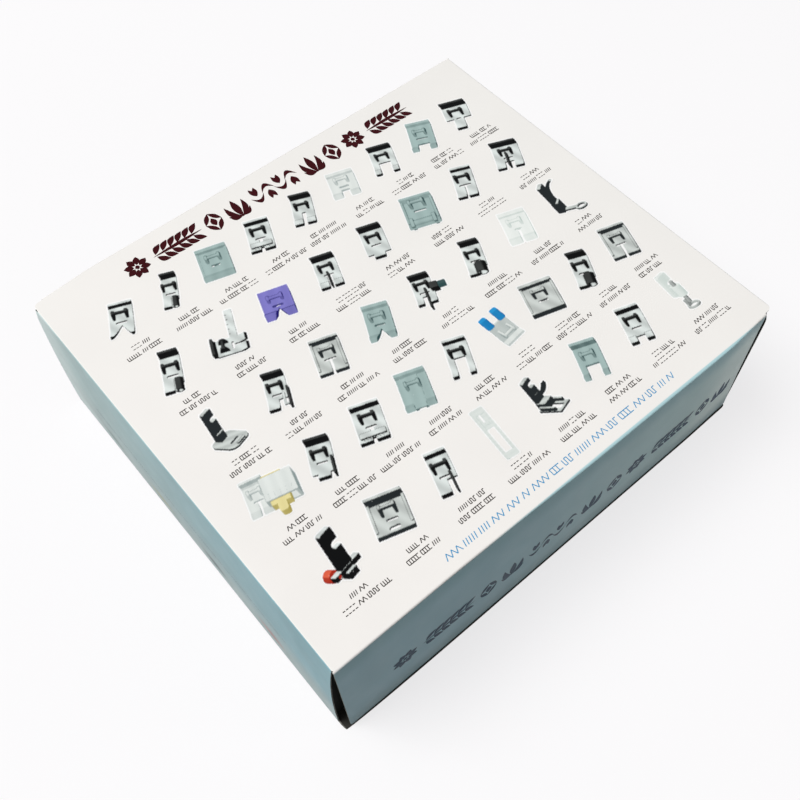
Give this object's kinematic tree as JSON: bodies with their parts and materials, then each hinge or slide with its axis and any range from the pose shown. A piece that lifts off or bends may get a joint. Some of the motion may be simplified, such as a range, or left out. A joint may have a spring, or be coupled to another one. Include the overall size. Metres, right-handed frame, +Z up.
{
  "type": "box of presser feet",
  "caption": "Paperboard tuck carton with hinged closures and stacked formed trays that hold clip-on and low-shank presser feet for a sewing machine.",
  "frame": {"origin": "centre of the carton's base", "axes": "+Z up, +X along the long front edge, the front closure faces -Y"},
  "size_m": [0.2, 0.175, 0.065],
  "materials": {
    "printed_board": "coated and printed paperboard, warm white cover with blue-grey side panels",
    "formed_sheet": "vacuum-formed clear sheet",
    "chromed_steel": "bright chromed steel",
    "satin_steel": "satin nickel-plated steel",
    "clear_plastic": "clear moulded acrylic",
    "grey_green_plastic": "grey-green moulded plastic",
    "indigo_plastic": "indigo moulded plastic",
    "red_plastic": "red moulded knob"
  },
  "bodies": {
    "carton": {"bead_foot": "indigo_plastic", "beading_foot": "grey_green_plastic", "bias_binder_foot": "chromed_steel", "blind_stitch_foot": "chromed_steel", "braiding_foot": "satin_steel", "button_foot": "clear_plastic", "buttonhole_foot": "clear_plastic", "carton_sleeve": "printed_board", "clear_applique_foot": "clear_plastic", "clear_zipper_foot": "clear_plastic", "cording_foot": "chromed_steel", "cording_foot_5_hole": "chromed_steel", "cording_foot_7_hole": "chromed_steel", "darning_foot": "satin_steel", "darning_foot_low_shank": "satin_steel", "deep_tray": "formed_sheet", "double_welting_foot": "satin_steel", "edge_joining_foot": "chromed_steel", "embroidery_foot": "grey_green_plastic", "fringe_foot": "chromed_steel", "invisible_zipper_foot": "satin_steel", "knit_foot": "satin_steel", "lace_roll_foot_3mm": "chromed_steel", "lace_roll_foot_6mm": "chromed_steel", "middle_tray": "formed_sheet", "narrow_hem_foot_3mm": "chromed_steel", "open_toe_foot": "chromed_steel", "overcast_foot": "chromed_steel", "pintuck_foot_7_groove": "satin_steel", "pintuck_foot_9_groove": "satin_steel", "quilting_foot": "chromed_steel", "quilting_guide_foot": "chromed_steel", "roller_foot": "satin_steel", "satin_stitch_foot": "grey_green_plastic", "sewing_foot": "chromed_steel", "shirring_foot": "satin_steel", "standard_foot": "chromed_steel", "stitch_guide_foot": "chromed_steel", "straight_stitch_foot": "chromed_steel", "top_tray": "formed_sheet", "universal_foot": "chromed_steel", "wide_hem_foot_6mm": "chromed_steel", "wide_opening_foot": "chromed_steel", "zigzag_foot": "grey_green_plastic", "zipper_foot": "chromed_steel", "zipper_foot_low_shank": "chromed_steel"},
    "front_closure": {"front_closure_panel": "printed_board"},
    "front_tab": {"front_tuck_tab": "printed_board"},
    "front_flap_left": {"front_dust_flap_left": "printed_board"},
    "front_flap_right": {"front_dust_flap_right": "printed_board"},
    "rear_closure": {"rear_closure_panel": "printed_board"},
    "rear_tab": {"rear_tuck_tab": "printed_board"},
    "rear_flap_left": {"rear_dust_flap_left": "printed_board"},
    "rear_flap_right": {"rear_dust_flap_right": "printed_board"},
    "roller": {"roller_foot_roller": "chromed_steel"},
    "guide_screw": {"blind_stitch_guide_screw": "chromed_steel"},
    "thumb_screw": {"zipper_foot_thumb_screw": "red_plastic"},
    "darning_ring": {"darning_foot_ring": "satin_steel"},
    "buttonhole_slider": {"buttonhole_foot_slider": "clear_plastic"},
    "binder_guide": {"bias_binder_guide": "chromed_steel"}
  },
  "joints": [
    {"name": "front_closure_hinge", "type": "hinge", "parent": "carton", "child": "front_closure", "pos_m": [0, -0.0875, 0.065], "axis": [-1, 0, 0], "range_deg": [0, 110]},
    {"name": "front_tab_fold", "type": "hinge", "parent": "front_closure", "child": "front_tab", "pos_m": [0, -0.087, 0.0021], "axis": [-1, 0, 0], "range_deg": [-34, 0]},
    {"name": "front_flap_left_hinge", "type": "hinge", "parent": "carton", "child": "front_flap_left", "pos_m": [-0.0995, -0.082, 0.0325], "axis": [0, 0, -1], "range_deg": [0, 89]},
    {"name": "front_flap_right_hinge", "type": "hinge", "parent": "carton", "child": "front_flap_right", "pos_m": [0.0995, -0.082, 0.0325], "axis": [0, 0, 1], "range_deg": [0, 89]},
    {"name": "rear_closure_hinge", "type": "hinge", "parent": "carton", "child": "rear_closure", "pos_m": [0, 0.0875, 0.065], "axis": [1, 0, 0], "range_deg": [0, 110]},
    {"name": "rear_tab_fold", "type": "hinge", "parent": "rear_closure", "child": "rear_tab", "pos_m": [0, 0.087, 0.0021], "axis": [1, 0, 0], "range_deg": [-34, 0]},
    {"name": "rear_flap_left_hinge", "type": "hinge", "parent": "carton", "child": "rear_flap_left", "pos_m": [-0.0995, 0.082, 0.0325], "axis": [0, 0, 1], "range_deg": [0, 89]},
    {"name": "rear_flap_right_hinge", "type": "hinge", "parent": "carton", "child": "rear_flap_right", "pos_m": [0.0995, 0.082, 0.0325], "axis": [0, 0, -1], "range_deg": [0, 89]},
    {"name": "roller_spin", "type": "hinge", "parent": "carton", "child": "roller", "pos_m": [-0.0475, 0.04237, 0.03115], "axis": [1, 0, 0], "continuous": true},
    {"name": "guide_screw_turn", "type": "hinge", "parent": "carton", "child": "guide_screw", "pos_m": [0.07517, 0.05167, 0.03255], "axis": [1, 0, 0], "continuous": true},
    {"name": "thumb_screw_turn", "type": "hinge", "parent": "carton", "child": "thumb_screw", "pos_m": [-0.0085, 0.00204, 0.00515], "axis": [0, -1, 0], "continuous": true},
    {"name": "darning_ring_lift", "type": "slide", "parent": "carton", "child": "darning_ring", "axis": [1, 0, 0], "range_m": [0, 0.0055], "stiffness_N_per_m": 120, "springref_m": -0.002},
    {"name": "buttonhole_slide", "type": "slide", "parent": "carton", "child": "buttonhole_slider", "axis": [1, 0, 0], "range_m": [0, 0.0572]},
    {"name": "binder_guide_slide", "type": "slide", "parent": "carton", "child": "binder_guide", "axis": [1, 0, 0], "range_m": [0, 0.005]}
  ],
  "couplings": [
    {"joint": "front_tab_fold", "follows": "front_closure_hinge", "ratio": -0.3},
    {"joint": "front_flap_left_hinge", "follows": "front_closure_hinge", "ratio": 0.8},
    {"joint": "front_flap_right_hinge", "follows": "front_closure_hinge", "ratio": 0.8},
    {"joint": "rear_tab_fold", "follows": "rear_closure_hinge", "ratio": -0.3},
    {"joint": "rear_flap_left_hinge", "follows": "rear_closure_hinge", "ratio": 0.8},
    {"joint": "rear_flap_right_hinge", "follows": "rear_closure_hinge", "ratio": 0.8}
  ]
}
